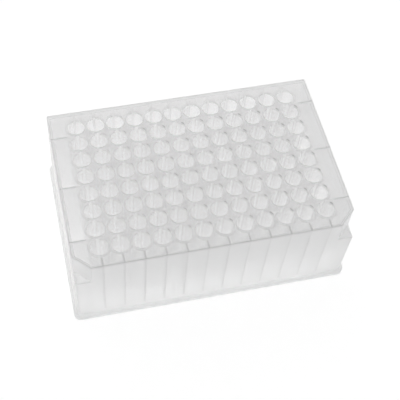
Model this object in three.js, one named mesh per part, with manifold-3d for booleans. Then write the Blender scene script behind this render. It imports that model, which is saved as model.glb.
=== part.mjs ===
// Deep well plate for a biology lab: 96 round wells in 8 rows of 12, moulded
// in one piece from translucent polypropylene.
//
// Units are millimetres, +Z is up. The origin is the centre of the footprint,
// in the plane that the plate stands on. +X runs along the long side, from
// column 1 to column 12, and +Y runs from row H, at the front, to row A.
//
// The moulding is a hollow box that is open below: a deck with a standing
// field for the wells, a drafted skirt with a foot flange round its bottom
// edge, wells that hang from the deck as tubes fused to their neighbours,
// upright webs from the outer tubes to the skirt, and two notched front
// corners that key the plate's orientation.

import * as THREE from 'three';
import { mergeVertices } from 'three/addons/utils/BufferGeometryUtils.js';
import Module from 'manifold-3d';

const wasm = await Module();
wasm.setup();

// ---------------------------------------------------------------- dimensions

const ROWS = 8;
const COLUMNS = 12;
const PITCH = 9.0; // well centre to well centre, both ways

const FOOT_X = 127.76; // standard microplate footprint
const FOOT_Y = 85.48;
const FOOT_CORNER_R = 3.18;
const FLANGE_H = 2.5; // height of the foot flange

const HEIGHT = 45.0; // bench to the sealing face round the wells
const FIELD_H = 0.6; // how far the sealing face stands above the deck margin
const DECK_Z = HEIGHT - FIELD_H;
const DECK_T = 1.3; // thickness of the deck
const DECK_X = 123.5; // outside of the body at the deck
const DECK_Y = 81.1;
const DECK_CORNER_R = 0.8;

const SKIRT_X = 125.0; // outside of the body at the bench: the skirt has draft
const SKIRT_Y = 82.4;
const SKIRT_CORNER_R = 1.8;
const WALL = 1.2; // skirt wall

const NOTCH_X = 7.3; // front corner notches, along X and along Y
const NOTCH_Y = 6.9;
const NOTCH_Z = 32.0; // height of the ledge under each notch

const BORE_R_TOP = 4.1; // inside radius of a well at its mouth
const BORE_R_LOW = 3.85; // and where its bottom begins
const BORE_END_Z = 4.0; // lowest point inside a well
const BORE_END_H = 2.9; // height of the tapered bottom
const TUBE_R = 4.62; // outside radius of a well's tube, over half the pitch
const TUBE_END_Z = 3.2; // lowest point outside a well
const TUBE_END_H = 3.2;
const SIDES = 12; // flats on each well in this model

const FIELD_MARGIN = 4.6; // edge of the standing field beyond the outer well centres

const WEB_T = 1.0; // webs between the outer tubes and the skirt
const WEB_Z = 5.0; // their lower end
const END_WEB_ROWS = [27, 0, -27]; // end webs lie between rows A-B, D-E and G-H
const END_WEB_X = 50.6; // where an end web starts, between two tubes

const EPS = 0.4; // how far a joined or cutting body runs past a face

// ------------------------------------------------------------------- helpers

// A closed three.js geometry as a solid.
function solid(geometry) {
  const g = geometry.index ? geometry.toNonIndexed() : geometry.clone();
  g.deleteAttribute('normal');
  g.deleteAttribute('uv');
  const m = mergeVertices(g, 1e-4);
  const index = m.index.array;
  const triVerts = [];
  for (let i = 0; i < index.length; i += 3) {
    const [a, b, c] = [index[i], index[i + 1], index[i + 2]];
    if (a !== b && b !== c && a !== c) triVerts.push(a, b, c);
  }
  return new wasm.Manifold(new wasm.Mesh({
    numProp: 3,
    vertProperties: new Float32Array(m.attributes.position.array),
    triVerts: new Uint32Array(triVerts),
  }));
}

// The solid back as a flat-shaded three.js geometry.
function geometryOf(body) {
  const mesh = body.getMesh();
  const stride = mesh.numProp;
  const position = new Float32Array((mesh.vertProperties.length / stride) * 3);
  for (let i = 0; i < position.length / 3; i++) {
    for (let k = 0; k < 3; k++) position[3 * i + k] = mesh.vertProperties[stride * i + k];
  }
  const g = new THREE.BufferGeometry();
  g.setAttribute('position', new THREE.BufferAttribute(position, 3));
  g.setIndex(new THREE.BufferAttribute(new Uint32Array(mesh.triVerts), 1));
  g.computeVertexNormals();
  return g;
}

// Outline of a rectangle with rounded corners. With a notch, the two corners
// at -Y are cut straight across instead.
function outline(halfX, halfY, radius, notch) {
  const s = new THREE.Shape();
  if (notch) {
    s.moveTo(-halfX + notch.x, -halfY);
    s.lineTo(halfX - notch.x, -halfY);
    s.lineTo(halfX, -halfY + notch.y);
  } else {
    s.moveTo(-halfX + radius, -halfY);
    s.lineTo(halfX - radius, -halfY);
    s.absarc(halfX - radius, -halfY + radius, radius, -Math.PI / 2, 0, false);
  }
  s.lineTo(halfX, halfY - radius);
  s.absarc(halfX - radius, halfY - radius, radius, 0, Math.PI / 2, false);
  s.lineTo(-halfX + radius, halfY);
  s.absarc(-halfX + radius, halfY - radius, radius, Math.PI / 2, Math.PI, false);
  if (notch) {
    s.lineTo(-halfX, -halfY + notch.y);
  } else {
    s.lineTo(-halfX, -halfY + radius);
    s.absarc(-halfX + radius, -halfY + radius, radius, Math.PI, 1.5 * Math.PI, false);
  }
  s.closePath();
  return s;
}

// An outline carried from zLow to zHigh. scaleAt(z) gives the section's scale
// in X and Y at each height, which is how the draft is made.
function prism(shape, zLow, zHigh, scaleAt = () => [1, 1], curveSegments = 4) {
  const g = new THREE.ExtrudeGeometry(shape, { depth: zHigh - zLow, bevelEnabled: false, curveSegments });
  g.translate(0, 0, zLow);
  const p = g.attributes.position;
  for (let i = 0; i < p.count; i++) {
    const [sx, sy] = scaleAt(p.getZ(i));
    p.setXY(i, p.getX(i) * sx, p.getY(i) * sy);
  }
  return g;
}

// The outside half sizes of the drafted body at a height.
function bodyHalf(z) {
  const t = z / DECK_Z;
  return [
    (SKIRT_X + (DECK_X - SKIRT_X) * t) / 2,
    (SKIRT_Y + (DECK_Y - SKIRT_Y) * t) / 2,
  ];
}

// A drafted prism of the body, drawn inset from its outside, from zLow to zHigh.
function bodyPrism(inset, radius, notch, zLow, zHigh) {
  const [x0, y0] = bodyHalf(zLow);
  const base = [x0 - inset, y0 - inset];
  const scaleAt = (z) => {
    const [x, y] = bodyHalf(z);
    return [(x - inset) / base[0], (y - inset) / base[1]];
  };
  return prism(outline(base[0], base[1], radius, notch), zLow, zHigh, scaleAt);
}

// The notch of an outline inset by w, so that the wall across it is w thick.
function insetNotch(w) {
  const length = Math.hypot(NOTCH_X, NOTCH_Y);
  return {
    x: NOTCH_X - w - (w * NOTCH_X) / NOTCH_Y + (w * length) / NOTCH_Y,
    y: NOTCH_Y - w - (w * NOTCH_Y) / NOTCH_X + (w * length) / NOTCH_X,
  };
}

// A body of revolution about Z with flats facing X and Y. Its corners lie a
// little outside the true radius, so that its section has the circle's area.
function turned(profile) {
  const step = (2 * Math.PI) / SIDES;
  const k = Math.sqrt(step / Math.sin(step));
  const points = profile.map(([r, z]) => new THREE.Vector2(r * k, z));
  const g = new THREE.LatheGeometry(points, SIDES, step / 2);
  g.rotateX(Math.PI / 2);
  return g;
}

function box(x0, x1, y0, y1, z0, z1) {
  const g = new THREE.BoxGeometry(x1 - x0, y1 - y0, z1 - z0);
  g.translate((x0 + x1) / 2, (y0 + y1) / 2, (z0 + z1) / 2);
  return g;
}

function join(bodies) {
  let list = bodies;
  while (list.length > 1) {
    const next = [];
    for (let i = 0; i < list.length; i += 2) {
      next.push(i + 1 < list.length ? list[i].add(list[i + 1]) : list[i]);
    }
    list = next;
  }
  return list[0];
}

// ------------------------------------------------------------------ the body

const notch = { x: NOTCH_X, y: NOTCH_Y };
const collar = solid(bodyPrism(0, DECK_CORNER_R, notch, NOTCH_Z - EPS, DECK_Z));
const skirt = solid(bodyPrism(0, SKIRT_CORNER_R, null, 0, NOTCH_Z));
const flange = solid(prism(outline(FOOT_X / 2, FOOT_Y / 2, FOOT_CORNER_R, null), 0, FLANGE_H));
const fieldX = ((COLUMNS - 1) * PITCH) / 2 + FIELD_MARGIN;
const fieldY = ((ROWS - 1) * PITCH) / 2 + FIELD_MARGIN;
const field = solid(prism(outline(fieldX, fieldY, FIELD_MARGIN, null), DECK_Z - EPS, HEIGHT));

const upperHollow = solid(bodyPrism(WALL, 0.3, insetNotch(WALL), NOTCH_Z - WALL - EPS, DECK_Z - DECK_T));
const lowerHollow = solid(bodyPrism(WALL, SKIRT_CORNER_R - WALL, null, -EPS, NOTCH_Z - WALL));

const shell = join([collar, skirt, flange, field]).subtract(upperHollow.add(lowerHollow));

// ----------------------------------------------------------------- the wells

const tubeProfile = [
  [0, TUBE_END_Z],
  [TUBE_R, TUBE_END_Z + TUBE_END_H],
  [TUBE_R, DECK_Z - DECK_T / 2],
  [0, DECK_Z - DECK_T / 2],
];
const boreProfile = [
  [0, BORE_END_Z],
  [BORE_R_LOW, BORE_END_Z + BORE_END_H],
  [BORE_R_TOP, HEIGHT + EPS],
  [0, HEIGHT + EPS],
];
const tubes = [];
const bores = [];
for (let row = 0; row < ROWS; row++) {
  for (let column = 0; column < COLUMNS; column++) {
    const x = (column - (COLUMNS - 1) / 2) * PITCH;
    const y = ((ROWS - 1) / 2 - row) * PITCH;
    tubes.push(solid(turned(tubeProfile).translate(x, y, 0)));
    bores.push(solid(turned(boreProfile).translate(x, y, 0)));
  }
}

// ------------------------------------------------------------------ the webs

// Each web starts inside a tube wall, or between two tubes at an end, and
// finishes inside the skirt or collar wall.
const webs = [];
const webTop = DECK_Z - DECK_T / 2;
const tubeReach = ((ROWS - 1) * PITCH) / 2 + (BORE_R_TOP + TUBE_R) / 2;
const [wallX, wallY] = bodyHalf(WEB_Z);
function drafted(geometry, axis, sign) {
  // Leans the outer face of a web so that it stays inside the drafted wall.
  const p = geometry.attributes.position;
  for (let i = 0; i < p.count; i++) {
    const v = axis === 'x' ? p.getX(i) : p.getY(i);
    const [hx, hy] = bodyHalf(p.getZ(i));
    const half = (axis === 'x' ? hx : hy) - WALL / 2;
    const low = (axis === 'x' ? wallX : wallY) - WALL / 2;
    if (Math.abs(Math.abs(v) - low) < 1e-3) {
      if (axis === 'x') p.setX(i, sign * half); else p.setY(i, sign * half);
    }
  }
  return geometry;
}
for (let column = 0; column < COLUMNS; column++) {
  const x = (column - (COLUMNS - 1) / 2) * PITCH;
  const end = wallY - WALL / 2;
  webs.push(solid(drafted(box(x - WEB_T / 2, x + WEB_T / 2, -end, -tubeReach, WEB_Z, webTop), 'y', -1)));
  webs.push(solid(drafted(box(x - WEB_T / 2, x + WEB_T / 2, tubeReach, end, WEB_Z, webTop), 'y', 1)));
}
for (const y of END_WEB_ROWS) {
  const end = wallX - WALL / 2;
  webs.push(solid(drafted(box(-end, -END_WEB_X, y - WEB_T / 2, y + WEB_T / 2, WEB_Z, webTop), 'x', -1)));
  webs.push(solid(drafted(box(END_WEB_X, end, y - WEB_T / 2, y + WEB_T / 2, WEB_Z, webTop), 'x', 1)));
}

const plate = join([shell, join(tubes), join(webs)]).subtract(join(bores));

// ----------------------------------------------------------------- the model

const polypropylene = new THREE.MeshStandardMaterial({
  color: 0xdcdcdc,
  roughness: 0.35,
  metalness: 0.0,
  transparent: true,
  opacity: 0.55,
});

const wellPlate = new THREE.Mesh(geometryOf(plate), polypropylene);
wellPlate.name = 'well_plate';

const model = new THREE.Group();
model.add(wellPlate);

export default model;
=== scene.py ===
import math

import bpy
import numpy as np
from mathutils import Matrix, Vector


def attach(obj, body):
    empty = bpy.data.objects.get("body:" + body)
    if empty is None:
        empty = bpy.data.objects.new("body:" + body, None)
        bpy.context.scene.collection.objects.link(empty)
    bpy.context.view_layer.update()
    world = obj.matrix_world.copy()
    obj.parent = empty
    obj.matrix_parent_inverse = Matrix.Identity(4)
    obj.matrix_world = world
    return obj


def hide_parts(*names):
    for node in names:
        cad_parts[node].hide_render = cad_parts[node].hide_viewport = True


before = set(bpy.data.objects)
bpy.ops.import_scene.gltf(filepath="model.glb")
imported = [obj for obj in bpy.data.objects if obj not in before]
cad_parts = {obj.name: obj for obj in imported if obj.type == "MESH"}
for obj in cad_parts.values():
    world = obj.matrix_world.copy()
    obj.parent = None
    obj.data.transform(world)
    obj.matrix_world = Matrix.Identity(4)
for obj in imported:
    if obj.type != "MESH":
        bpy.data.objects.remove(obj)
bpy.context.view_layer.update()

# ---------------------------------------------------------------------------
# A deep well plate with 96 round wells, moulded in one piece.
# Lengths in this script are in millimetres, in the CAD frame: +X runs along
# the long side, +Y from the notched front to the back, +Z up from the bench.
# Each mesh is scaled to metres once it is whole.
# ---------------------------------------------------------------------------

MM = 0.001

ROWS = 8
COLUMNS = 12
PITCH = 9.0

FOOT_X = 127.76
FOOT_Y = 85.48
FOOT_CORNER_R = 3.18
FLANGE_H = 2.5

HEIGHT = 45.0  # top of the rims
FIELD_H = 0.6  # rims above the deck
DECK_Z = HEIGHT - FIELD_H
DECK_T = 1.3
DECK_X = 123.5
DECK_Y = 81.1
DECK_CORNER_R = 0.8

SKIRT_X = 125.0  # at the bench
SKIRT_Y = 82.4
SKIRT_CORNER_R = 1.8
WALL = 1.2

NOTCH_X = 7.3
NOTCH_Y = 6.9
NOTCH_Z = 32.0

BORE_R_TOP = 4.1
BORE_R_LOW = 3.85
BORE_END_Z = 4.0
TUBE_R = 4.47
CONTACT = 2.0  # width of the webs that join neighbouring tubes
TUBE_END_Z = 3.2
RIM_R = 4.42  # outside of the fine rim round a mouth
FIELD_R = 4.85  # the raised field runs round the outer wells at this radius
FIELD_Z = 44.89

WEB_T = 1.0
WEB_Z = 5.0
END_WEB_ROWS = (27.0, 0.0, -27.0)
END_WEB_X = 50.6

BORE_SIDES = 40
TUBE_SIDES = 32

centres = [
    ((c - (COLUMNS - 1) / 2) * PITCH, ((ROWS - 1) / 2 - r) * PITCH, r, c)
    for r in range(ROWS)
    for c in range(COLUMNS)
]

# ------------------------------------------------------------------- meshes


def new_object(name, verts, faces):
    mesh = bpy.data.meshes.new(name)
    mesh.from_pydata([tuple(map(float, v)) for v in verts], [], faces)
    mesh.update()
    obj = bpy.data.objects.new(name, mesh)
    bpy.context.scene.collection.objects.link(obj)
    return obj


def stack(rings):
    """A closed solid from rings of equal count, lowest first, with flat ends."""
    n = len(rings[0])
    verts = [p for ring in rings for p in ring]
    faces = [tuple(reversed(range(n)))]
    for k in range(len(rings) - 1):
        a, b = k * n, (k + 1) * n
        for i in range(n):
            j = (i + 1) % n
            faces.append((a + i, a + j, b + j, b + i))
    top = (len(rings) - 1) * n
    faces.append(tuple(range(top, top + n)))
    return verts, faces


def inset_polygon(points, radii, inset, steps=6):
    """A convex outline, counterclockwise, moved in by inset, its corners rounded.

    Each corner keeps the same number of points whatever its radius is.
    """
    pts = np.array(points, float)
    n = len(pts)
    lines = []
    for i in range(n):
        a, b = pts[i], pts[(i + 1) % n]
        d = (b - a) / np.linalg.norm(b - a)
        inward = np.array([-d[1], d[0]])
        lines.append((d, inward, inward @ a + inset))
    out = []
    for i in range(n):
        d0, n0, c0 = lines[i - 1]
        d1, n1, c1 = lines[i]
        corner = np.linalg.solve(np.array([n0, n1]), np.array([c0, c1]))
        r = max(radii[i] - inset, 0.04)
        turn = math.acos(max(-1.0, min(1.0, float(d0 @ d1))))
        back = r * math.tan(turn / 2)
        centre = corner - d0 * back + n0 * r
        start = math.atan2(*(-n0)[::-1])
        for k in range(steps + 1):
            t = start + turn * k / steps
            out.append((centre[0] + r * math.cos(t), centre[1] + r * math.sin(t)))
    return out


def body_half(z):
    t = z / DECK_Z
    return (
        (SKIRT_X + (DECK_X - SKIRT_X) * t) / 2,
        (SKIRT_Y + (DECK_Y - SKIRT_Y) * t) / 2,
        SKIRT_CORNER_R + (DECK_CORNER_R - SKIRT_CORNER_R) * t,
    )


def round_ring(z, inset=0.0, grow=0.0):
    x, y, r = body_half(z)
    x, y = x + grow, y + grow
    corners = [(-x, -y), (x, -y), (x, y), (-x, y)]
    return [(px, py, z) for px, py in inset_polygon(corners, [r] * 4, inset)]


def notched_ring(z, inset=0.0, grow=0.0):
    x, y, r = body_half(z)
    x, y = x + grow, y + grow
    corners = [
        (-x + NOTCH_X, -y),
        (x - NOTCH_X, -y),
        (x, -y + NOTCH_Y),
        (x, y),
        (-x, y),
        (-x, -y + NOTCH_Y),
    ]
    soft = 0.9
    return [
        (px, py, z)
        for px, py in inset_polygon(corners, [soft, soft, soft, r, r, soft], inset)
    ]


def foot_ring(z, inset=0.0):
    x, y = FOOT_X / 2, FOOT_Y / 2
    corners = [(-x, -y), (x, -y), (x, y), (-x, y)]
    return [
        (px, py, z) for px, py in inset_polygon(corners, [FOOT_CORNER_R] * 4, inset)
    ]


def rounded_over(ring_at, z, radius, steps=3, upward=True):
    """Rings that round an outline's outer edge over a radius, ending flat at z."""
    rings = []
    for k in range(steps + 1):
        a = math.pi / 2 * k / steps
        dz = radius * (1 - math.sin(a))
        inset = radius * (1 - math.cos(a))
        rings.append(ring_at(z - dz if upward else z + dz, inset))
    return rings if upward else rings[::-1]


def lathe(profile, sides, places):
    """One solid of revolution about Z, copied to each place (x, y)."""
    verts, faces = [], []
    for x, y in places:
        base = len(verts)
        index = []
        for r, z in profile:
            if r < 1e-6:
                index.append([len(verts)])
                verts.append((x, y, z))
            else:
                row = []
                for k in range(sides):
                    t = 2 * math.pi * k / sides
                    row.append(len(verts))
                    verts.append((x + r * math.cos(t), y + r * math.sin(t), z))
                index.append(row)
        for lower, upper in zip(index, index[1:]):
            for k in range(sides):
                j = (k + 1) % sides
                if len(lower) == 1:
                    faces.append((lower[0], upper[j], upper[k]))
                elif len(upper) == 1:
                    faces.append((lower[k], lower[j], upper[0]))
                else:
                    faces.append((lower[k], lower[j], upper[j], upper[k]))
    return verts, faces


def boxes(spans):
    verts, faces = [], []
    for corners in spans:
        base = len(verts)
        verts += corners
        for q in (
            (0, 3, 2, 1),
            (4, 5, 6, 7),
            (0, 1, 5, 4),
            (1, 2, 6, 5),
            (2, 3, 7, 6),
            (3, 0, 4, 7),
        ):
            faces.append(tuple(base + i for i in q))
    return verts, faces


def boolean(target, tool, operation):
    """Joins or cuts target with tool, which is removed."""
    modifier = target.modifiers.new("cut", "BOOLEAN")
    modifier.operation = operation
    modifier.solver = "MANIFOLD"
    modifier.object = tool
    bpy.context.view_layer.update()
    depsgraph = bpy.context.evaluated_depsgraph_get()
    made = bpy.data.meshes.new_from_object(target.evaluated_get(depsgraph))
    target.modifiers.clear()
    old = target.data
    target.data = made
    bpy.data.meshes.remove(old)
    mesh = tool.data
    bpy.data.objects.remove(tool)
    bpy.data.meshes.remove(mesh)


# The shell: drafted skirt, collar with two notched corners, foot flange.
skirt = [round_ring(z) for z in (0.0, 0.6, NOTCH_Z - 0.8)]
skirt += rounded_over(round_ring, NOTCH_Z, 0.8)[1:]
plate = new_object("plate", *stack(skirt))

GROW = 0.002
collar = [notched_ring(NOTCH_Z - 1.0, 0.0, GROW)]
collar += rounded_over(lambda z, i: notched_ring(z, i, GROW), DECK_Z, 0.3)
boolean(plate, new_object("collar", *stack(collar)), "UNION")

foot = rounded_over(foot_ring, 0.0, 0.15, 2, upward=False)
foot += rounded_over(foot_ring, FLANGE_H, 0.4)
boolean(plate, new_object("foot", *stack(foot)), "UNION")

hollow = [round_ring(z, WALL) for z in (-0.5, 0.0, NOTCH_Z - WALL - 0.4)]
hollow += rounded_over(lambda z, i: round_ring(z, WALL + i), NOTCH_Z - WALL, 0.4)[1:]
boolean(plate, new_object("hollow", *stack(hollow)), "DIFFERENCE")
upper = [notched_ring(NOTCH_Z - WALL - 1.5, WALL)]
upper += rounded_over(
    lambda z, i: notched_ring(z, WALL + i), DECK_Z - DECK_T, 0.5
)
boolean(plate, new_object("upper", *stack(upper)), "DIFFERENCE")

# Tubes with round bottoms, each carried up into the rounded rim of its mouth.
ball = TUBE_END_Z + TUBE_R
tube_profile = [(0.0, TUBE_END_Z)]
for k in range(1, 6):
    a = math.pi / 2 * k / 5
    tube_profile.append((TUBE_R * math.sin(a), ball - TUBE_R * math.cos(a)))
tube_profile += [
    (TUBE_R, DECK_Z - 0.6),
    (FIELD_R + 0.22, DECK_Z - 0.02),
    (FIELD_R + 0.1, DECK_Z + 0.1),
    (FIELD_R, FIELD_Z - 0.1),
    (FIELD_R - 0.1, FIELD_Z),
    (RIM_R + 0.04, FIELD_Z),
    (RIM_R, FIELD_Z + 0.03),
    (RIM_R - 0.06, HEIGHT - 0.03),
    (RIM_R - 0.12, HEIGHT),
    (0.0, HEIGHT),
]
for parity in (0, 1):
    places = [(x, y) for x, y, r, c in centres if (r + c) % 2 == parity]
    boolean(
        plate, new_object("tubes", *lathe(tube_profile, TUBE_SIDES, places)), "UNION"
    )

# The webs between neighbouring tubes.
spans = []
for x, y, r, c in centres:
    joins = []
    if c + 1 < COLUMNS:
        joins.append((x + PITCH / 2, y, 0.45, CONTACT / 2))
    if r > 0:
        joins.append((x, y + PITCH / 2, CONTACT / 2, 0.45))
    for jx, jy, hx, hy in joins:
        ring = [(jx - hx, jy - hy), (jx + hx, jy - hy), (jx + hx, jy + hy), (jx - hx, jy + hy)]
        spans.append([(*p, WEB_Z + 1.0) for p in ring] + [(*p, DECK_Z - 0.5) for p in ring])
boolean(plate, new_object("joins", *boxes(spans)), "UNION")

# The raised field that the rims stand on.
fx, fy = (COLUMNS - 1) / 2 * PITCH, (ROWS - 1) / 2 * PITCH
field = [(-fx, -fy), (fx, -fy), (fx, fy), (-fx, fy)]
field = [[(*p, DECK_Z - 0.4) for p in field] + [(*p, FIELD_Z) for p in field]]
boolean(plate, new_object("field", *boxes(field)), "UNION")

# Upright webs from the outer tubes to the skirt.
web_top = DECK_Z - DECK_T / 2
reach = (ROWS - 1) * PITCH / 2 + (BORE_R_TOP + TUBE_R) / 2
low_x, low_y = (v - WALL / 2 for v in body_half(WEB_Z)[:2])
top_x, top_y = (v - WALL / 2 for v in body_half(web_top)[:2])
h = WEB_T / 2
spans = []
for c in range(COLUMNS):
    x = (c - (COLUMNS - 1) / 2) * PITCH
    for s in (-1, 1):
        front = [(x - h, s * low_y), (x + h, s * low_y), (x + h, s * reach), (x - h, s * reach)]
        above = [(x - h, s * top_y), (x + h, s * top_y), (x + h, s * reach), (x - h, s * reach)]
        if s > 0:
            front, above = front[::-1], above[::-1]
        spans.append([(*p, WEB_Z) for p in front] + [(*p, web_top) for p in above])
for y in END_WEB_ROWS:
    for s in (-1, 1):
        front = [(s * low_x, y - h), (s * END_WEB_X, y - h), (s * END_WEB_X, y + h), (s * low_x, y + h)]
        above = [(s * top_x, y - h), (s * END_WEB_X, y - h), (s * END_WEB_X, y + h), (s * top_x, y + h)]
        if s > 0:
            front, above = front[::-1], above[::-1]
        spans.append([(*p, WEB_Z) for p in front] + [(*p, web_top) for p in above])
boolean(plate, new_object("webs", *boxes(spans)), "UNION")

# Bores: a softened mouth, a slightly drafted wall and a round bottom.
ball = BORE_END_Z + BORE_R_LOW
bore_profile = [(0.0, BORE_END_Z)]
for k in range(1, 7):
    a = math.pi / 2 * k / 6
    bore_profile.append((BORE_R_LOW * math.sin(a), ball - BORE_R_LOW * math.cos(a)))
bore_profile += [
    (BORE_R_TOP, HEIGHT - 0.2),
    (BORE_R_TOP + 0.02, HEIGHT - 0.1),
    (BORE_R_TOP + 0.06, HEIGHT - 0.03),
    (BORE_R_TOP + 0.14, HEIGHT),
    (BORE_R_TOP + 0.14, HEIGHT + 1.0),
    (0.0, HEIGHT + 1.0),
]
boolean(
    plate,
    new_object(
        "bores", *lathe(bore_profile, BORE_SIDES, [(x, y) for x, y, _, _ in centres])
    ),
    "DIFFERENCE",
)


def finish_mesh(obj, sharp_deg=38.0):
    """To metres, smooth across small turns and crisp across large ones."""
    mesh = obj.data
    mesh.transform(Matrix.Scale(MM, 4))
    mesh.validate()
    mesh.polygons.foreach_set("use_smooth", np.ones(len(mesh.polygons), bool))
    mesh.set_sharp_from_angle(angle=math.radians(sharp_deg))
    weighted = obj.modifiers.new("weighted_normals", "WEIGHTED_NORMAL")
    weighted.mode = "FACE_AREA"
    weighted.weight = 50
    weighted.keep_sharp = True
    mesh.update()


finish_mesh(plate)
plate.name = plate.data.name = "moulded_plate"

# ---------------------------------------------------------------- materials


def node(tree, kind, x, y, **values):
    n = tree.nodes.new(kind)
    n.location = (x, y)
    for key, value in values.items():
        if hasattr(n, key):
            setattr(n, key, value)
    return n


OUTER_DULL = 0.14  # added to the roughness on the outside of the skirt
# Depths of painted shade: each is the fraction that its mask takes off the base colour.
EDGE_PAINTED_SHADE = 0.4
BAND_PAINTED_SHADE = 0.2
LOW_PAINTED_SHADE = 0.1
UPPER_PAINTED_SHADE = 0.055
FOOT_PAINTED_SHADE = 0.11
WEB_TOP_PAINTED_SHADE = 0.32
WEB_SIDE_PAINTED_SHADE = 0.09
MOUTH_ARC_PAINTED_SHADE = 0.93
FIELD_PAINTED_SHADE = 0.03
# Where round each mouth the painted dark arc sits.
MOUTH_AT = math.radians(36.0)


def calc(tree, operation, a, b=None, c=None):
    """A math node on sockets or numbers; gives its output socket."""
    n = node(tree, "ShaderNodeMath", -500, -600, operation=operation)
    for socket, value in zip(n.inputs, (a, b, c)):
        if isinstance(value, (int, float)):
            socket.default_value = value
        elif value is not None:
            tree.links.new(value, socket)
    return n.outputs[0]


def past(tree, value, start, soft=0.1):
    """0 below start, rising to 1 over the length soft."""
    n = node(tree, "ShaderNodeMapRange", -300, -600)
    n.inputs["From Min"].default_value = start
    n.inputs["From Max"].default_value = start + soft
    tree.links.new(value, n.inputs["Value"])
    return n.outputs["Result"]


def within(tree, value, low, high, soft=0.1):
    rises = past(tree, value, low - soft, soft)
    falls = past(tree, value, high, soft)
    return calc(tree, "SUBTRACT", rises, falls)


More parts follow.
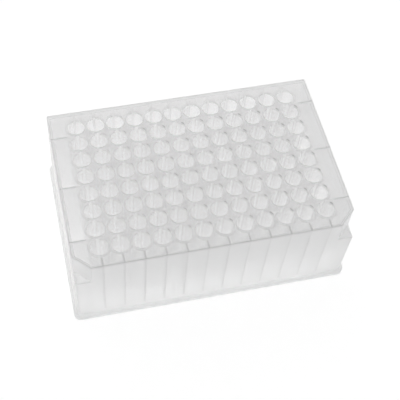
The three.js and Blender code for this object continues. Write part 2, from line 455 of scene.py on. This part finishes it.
def painted_self_shade(tree, place):
    """The outside of the skirt as a mask, and painted shade for the whole surface.

    Sheets that are seen end on (the deck's edge, the webs under the deck and
    behind the skirt, the deck's web between four mouths) carry their light
    away sideways; that shade is painted into the base colour over them, and
    the skirt's outside gets painted shade low down and higher up.
    """
    scaled = node(tree, "ShaderNodeVectorMath", -900, -600, operation="SCALE")
    scaled.inputs["Scale"].default_value = 1 / MM
    tree.links.new(place, scaled.inputs[0])
    xyz = node(tree, "ShaderNodeSeparateXYZ", -700, -600)
    tree.links.new(scaled.outputs["Vector"], xyz.inputs["Vector"])
    x, y, z = (xyz.outputs[k] for k in "XYZ")
    ax = calc(tree, "ABSOLUTE", x)
    ay = calc(tree, "ABSOLUTE", y)

    # Along the skirt, the collar and the faces of the two notches.
    reach = math.hypot(NOTCH_X, NOTCH_Y)
    notch_at = ((DECK_X / 2 - NOTCH_X) * NOTCH_Y + DECK_Y / 2 * NOTCH_X) / reach
    over = calc(tree, "MULTIPLY", ax, NOTCH_Y / reach)
    over = calc(tree, "MULTIPLY_ADD", y, -NOTCH_X / reach, over)
    ends = past(tree, ax, 61.1, 0.3)
    long_sides = past(tree, ay, 40.1, 0.3)
    notches = past(tree, over, notch_at - 0.6, 0.3)
    outer = calc(tree, "MAXIMUM", calc(tree, "MAXIMUM", ends, long_sides), notches)
    rim = calc(tree, "MULTIPLY", calc(tree, "MAXIMUM", ends, notches), 0.45)
    rim = calc(tree, "MAXIMUM", rim, long_sides)

    # From the centre of the nearest well.
    fx_edge, fy_edge = COLUMNS * PITCH / 2, ROWS * PITCH / 2
    u = calc(tree, "FLOORED_MODULO", calc(tree, "ADD", x, COLUMNS * PITCH / 2), PITCH)
    u = calc(tree, "SUBTRACT", u, PITCH / 2)
    v = calc(tree, "FLOORED_MODULO", calc(tree, "ADD", y, ROWS * PITCH / 2), PITCH)
    v = calc(tree, "SUBTRACT", v, PITCH / 2)
    square = calc(tree, "MULTIPLY_ADD", v, v, calc(tree, "MULTIPLY", u, u))
    radius = calc(tree, "SQRT", square)
    # Painted shade: a dark arc at the back right of each mouth, left out of the back row and weaker towards
    # the left end.
    mouth = calc(tree, "MULTIPLY_ADD", v, math.sin(MOUTH_AT), calc(tree, "MULTIPLY", u, math.cos(MOUTH_AT)))
    mouth = calc(tree, "DIVIDE", mouth, radius)
    in_grid = calc(
        tree,
        "MULTIPLY",
        calc(tree, "SUBTRACT", 1.0, past(tree, ax, fx_edge, 0.1)),
        calc(tree, "SUBTRACT", 1.0, past(tree, ay, fy_edge, 0.1)),
    )
    painted_mouth_arc = calc(tree, "MULTIPLY", past(tree, mouth, 0.952, 0.036), within(tree, z, 44.57, 44.91, 0.09))
    painted_mouth_arc = calc(tree, "MULTIPLY", painted_mouth_arc, in_grid)
    painted_mouth_arc = calc(tree, "MULTIPLY", painted_mouth_arc, calc(tree, "SUBTRACT", 1.0, past(tree, y, 27.0, 0.5)))
    fades = calc(tree, "MULTIPLY_ADD", past(tree, x, -50.0, 30.0), 0.6, 0.4)
    painted_mouth_arc = calc(tree, "MULTIPLY", painted_mouth_arc, fades)
    in_bore = calc(tree, "SUBTRACT", 1.0, past(tree, radius, 4.26, 0.08))
    # Painted shade on the raised field between the mouths.
    between = calc(tree, "MULTIPLY", past(tree, radius, 4.4, 0.08), past(tree, z, 44.5, 0.2))

    # Painted shade over and beside the webs, along the long sides and at the ends.
    beside = calc(tree, "ABSOLUTE", u)
    end_row = calc(tree, "ABSOLUTE", calc(tree, "SUBTRACT", ay, END_WEB_ROWS[0]))
    end_row = calc(tree, "MINIMUM", end_row, ay)
    long_top = calc(
        tree,
        "MULTIPLY",
        calc(tree, "SUBTRACT", 1.0, past(tree, beside, 0.35, 0.15)),
        past(tree, calc(tree, "MULTIPLY", y, -1.0), 36.5, 0.1),
    )
    long_top = calc(tree, "MULTIPLY", long_top, calc(tree, "SUBTRACT", 1.0, past(tree, ax, 53.0, 0.5)))
    end_top = calc(
        tree,
        "MULTIPLY",
        calc(tree, "SUBTRACT", 1.0, past(tree, end_row, 0.25, 0.15)),
        past(tree, ax, 54.3, 0.1),
    )
    web = calc(tree, "MAXIMUM", long_top, end_top)
    web_top = calc(tree, "MULTIPLY", web, past(tree, z, DECK_Z - 0.1, 0.05))
    web_side = calc(tree, "MULTIPLY", web, within(tree, z, WEB_Z, DECK_Z - DECK_T, 0.3))
    web_side = calc(tree, "MULTIPLY", web_side, outer)

    # Painted shade on the skirt's outside: darker towards the bottom, and darker again higher up, except on
    # the notches' ledges.
    low = calc(tree, "SUBTRACT", 1.0, past(tree, z, 3.0, 15.0))
    ledge = calc(tree, "MULTIPLY", past(tree, over, notch_at + 0.2, 0.3), past(tree, z, NOTCH_Z - 1.0, 0.6))
    upper = calc(tree, "MULTIPLY", past(tree, z, 10.0, 20.0), calc(tree, "MULTIPLY_ADD", ledge, -1.0, 1.0))

    # Each mask takes its depth of painted shade off the base colour. The masks cover the deck's edge, a
    # band below it, the skirt low down and higher up, a line just above the bench and the top of the foot,
    # the webs, the arcs at the mouths and the field between them.
    painted_shade_factor = 1.0
    for mask, depth in (
        (calc(tree, "MULTIPLY", rim, within(tree, z, DECK_Z - 0.22, DECK_Z - 0.03, 0.03)), EDGE_PAINTED_SHADE),
        (calc(tree, "MULTIPLY", outer, within(tree, z, DECK_Z - DECK_T, DECK_Z - 0.25, 0.03)), BAND_PAINTED_SHADE),
        (calc(tree, "MULTIPLY", outer, low), LOW_PAINTED_SHADE),
        (calc(tree, "MULTIPLY", outer, upper), UPPER_PAINTED_SHADE),
        (calc(tree, "MULTIPLY", outer, within(tree, z, 0.3, 0.7, 0.15)), FOOT_PAINTED_SHADE),
        (calc(tree, "MULTIPLY", outer, within(tree, z, 2.2, 2.7, 0.2)), FOOT_PAINTED_SHADE * 0.6),
        (web_top, WEB_TOP_PAINTED_SHADE),
        (web_side, WEB_SIDE_PAINTED_SHADE),
        (calc(tree, "MULTIPLY", painted_mouth_arc, in_bore), MOUTH_ARC_PAINTED_SHADE),
        (between, FIELD_PAINTED_SHADE),
    ):
        painted_shade_factor = calc(tree, "MULTIPLY", painted_shade_factor, calc(tree, "MULTIPLY_ADD", mask, -depth, 1.0))
    return outer, painted_shade_factor


def polypropylene():
    m = bpy.data.materials.new("natural_polypropylene")
    m.use_nodes = True
    t = m.node_tree
    t.nodes.clear()
    out = node(t, "ShaderNodeOutputMaterial", 900, 0)
    p = node(t, "ShaderNodeBsdfPrincipled", 500, 0)
    p.inputs["IOR"].default_value = 1.49
    p.inputs["Transmission Weight"].default_value = 1.0
    t.links.new(p.outputs["BSDF"], out.inputs["Surface"])

    where = node(t, "ShaderNodeTexCoord", -1100, 0)

    # Milkiness that drifts with the flow of the melt.
    flow = node(t, "ShaderNodeMapping", -900, 250)
    flow.inputs["Scale"].default_value = (38.0, 38.0, 22.0)
    t.links.new(where.outputs["Object"], flow.inputs["Vector"])
    cloud = node(t, "ShaderNodeTexNoise", -700, 250)
    cloud.inputs["Scale"].default_value = 1.0
    cloud.inputs["Detail"].default_value = 3.0
    cloud.inputs["Roughness"].default_value = 0.55
    t.links.new(flow.outputs["Vector"], cloud.inputs["Vector"])
    tint = node(t, "ShaderNodeValToRGB", -450, 250)
    tint.color_ramp.elements[0].position = 0.3
    tint.color_ramp.elements[0].color = (0.99, 0.99, 0.99, 1)
    tint.color_ramp.elements[1].position = 0.7
    tint.color_ramp.elements[1].color = (1.0, 1.0, 1.0, 1)
    t.links.new(cloud.outputs["Fac"], tint.inputs["Fac"])

    # Satin of the mould's spark-eroded face: fine, with duller patches.
    grain = node(t, "ShaderNodeTexNoise", -700, -50)
    grain.inputs["Scale"].default_value = 900.0
    grain.inputs["Detail"].default_value = 2.0
    t.links.new(where.outputs["Object"], grain.inputs["Vector"])
    patch = node(t, "ShaderNodeTexNoise", -700, -300)
    patch.inputs["Scale"].default_value = 120.0
    patch.inputs["Detail"].default_value = 2.0
    t.links.new(where.outputs["Object"], patch.inputs["Vector"])
    rough = node(t, "ShaderNodeMapRange", -450, -250)
    rough.inputs["From Min"].default_value = 0.3
    rough.inputs["From Max"].default_value = 0.7
    rough.inputs["To Min"].default_value = 0.16
    rough.inputs["To Max"].default_value = 0.24
    t.links.new(patch.outputs["Fac"], rough.inputs["Value"])
    # The mould's outer cavity is spark-eroded, so the skirt is duller outside.
    outer, shade = painted_self_shade(t, where.outputs["Object"])
    duller = calc(t, "MULTIPLY_ADD", outer, OUTER_DULL, rough.outputs["Result"])
    t.links.new(duller, p.inputs["Roughness"])
    # The painted shade darkens the milky tint before it goes to the base colour.
    painted_shade_tint = node(t, "ShaderNodeVectorMath", 250, 250, operation="SCALE")
    t.links.new(tint.outputs["Color"], painted_shade_tint.inputs[0])
    t.links.new(shade, painted_shade_tint.inputs["Scale"])
    t.links.new(painted_shade_tint.outputs["Vector"], p.inputs["Base Color"])

    fine = node(t, "ShaderNodeBump", 100, -300)
    fine.inputs["Strength"].default_value = 0.05
    fine.inputs["Distance"].default_value = 0.0001
    t.links.new(grain.outputs["Fac"], fine.inputs["Height"])
    t.links.new(fine.outputs["Normal"], p.inputs["Normal"])

    # The polymer scatters light inside its walls, and absorbs next to none.
    milk = node(t, "ShaderNodeVolumeScatter", 500, -350)
    milk.inputs["Color"].default_value = (1.0, 1.0, 1.0, 1)
    milk.inputs["Density"].default_value = 600.0
    milk.inputs["Anisotropy"].default_value = 0.0
    t.links.new(milk.outputs["Volume"], out.inputs["Volume"])

    return m


plate.data.materials.clear()
plate.data.materials.append(polypropylene())
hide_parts("well_plate")
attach(plate, "root")

# ------------------------------------------------------------------- studio


def floor_material():
    m = bpy.data.materials.new("studio_floor")
    m.use_nodes = True
    t = m.node_tree
    p = t.nodes["Principled BSDF"]
    p.inputs["Base Color"].default_value = (0.45, 0.45, 0.45, 1)
    p.inputs["Roughness"].default_value = 0.9
    p.inputs["Specular IOR Level"].default_value = 0.1
    p.inputs["Emission Color"].default_value = (1, 1, 1, 1)
    m.cycles.emission_sampling = "NONE"
    p.inputs["Emission Strength"].default_value = 0.76
    return m


s = 3.0
floor = new_object(
    "studio_floor",
    [(-s, -s, 0), (s, -s, 0), (s, s, 0), (-s, s, 0)],
    [(0, 1, 2, 3)],
)
floor.location.z = -0.00002
floor.data.materials.append(floor_material())

world = bpy.data.worlds.new("studio")
bpy.context.scene.world = world
world.use_nodes = True
background = world.node_tree.nodes["Background"]
background.inputs["Color"].default_value = (1, 1, 1, 1)

# A wide diffuser over and behind the plate: its light grows evenly from the
# front horizon to the back and to the zenith.
SKY_MEAN = 0.524
SKY_TILT = (-0.08, 0.39, 0.05)
towards = node(world.node_tree, "ShaderNodeTexCoord", -700, 0)
tilt = node(world.node_tree, "ShaderNodeVectorMath", -500, 0, operation="DOT_PRODUCT")
tilt.inputs[1].default_value = SKY_TILT
level = node(world.node_tree, "ShaderNodeMath", -300, 0, operation="ADD")
level.inputs[1].default_value = SKY_MEAN
world.node_tree.links.new(towards.outputs["Generated"], tilt.inputs[0])
world.node_tree.links.new(tilt.outputs["Value"], level.inputs[0])
world.node_tree.links.new(level.outputs["Value"], background.inputs["Strength"])
world.cycles.sampling_method = "NONE"

# ------------------------------------------------------------------- camera

AZ, EL, ROLL = -14.87, 58.74, 3.50
DIST, FOCAL = 359.00, 840.23
TX, TY = -20.91, -20.60
PPX, PPY = 161.13, 214.18

az, el, roll = (math.radians(v) for v in (AZ, EL, ROLL))
back = Vector((math.sin(az) * math.cos(el), -math.cos(az) * math.cos(el), math.sin(el)))
fwd = -back
right = fwd.cross(Vector((0, 0, 1))).normalized()
up = right.cross(fwd)
r_axis = math.cos(roll) * right + math.sin(roll) * up
u_axis = -math.sin(roll) * right + math.cos(roll) * up
data = bpy.data.cameras.new("camera")
data.sensor_width = 36.0
data.sensor_fit = "AUTO"
data.lens = FOCAL * 36.0 / 400.0
data.shift_x = (200.0 - PPX) / 400.0
data.shift_y = (PPY - 200.0) / 400.0
data.clip_start, data.clip_end = 0.01, 20.0
camera = bpy.data.objects.new("camera", data)
bpy.context.scene.collection.objects.link(camera)
place = (Vector((TX, TY, DECK_Z)) + back * DIST) * MM
turn = Matrix((r_axis, u_axis, back)).transposed()
camera.matrix_world = Matrix.Translation(place) @ turn.to_4x4()
bpy.context.scene.camera = camera

# ------------------------------------------------------------------- render

scene = bpy.context.scene
scene.view_settings.view_transform = "Standard"
scene.view_settings.look = "None"
scene.view_settings.exposure = 0.0
scene.view_settings.gamma = 1.0
scene.cycles.max_bounces = 300
scene.cycles.transmission_bounces = 300
scene.cycles.glossy_bounces = 300
scene.cycles.diffuse_bounces = 300
scene.cycles.volume_bounces = 300
scene.cycles.transparent_max_bounces = 16
scene.cycles.caustics_reflective = True
scene.cycles.caustics_refractive = True
scene.cycles.sample_clamp_indirect = 6.0
scene.cycles.blur_glossy = 0.0
scene.cycles.use_denoising = True
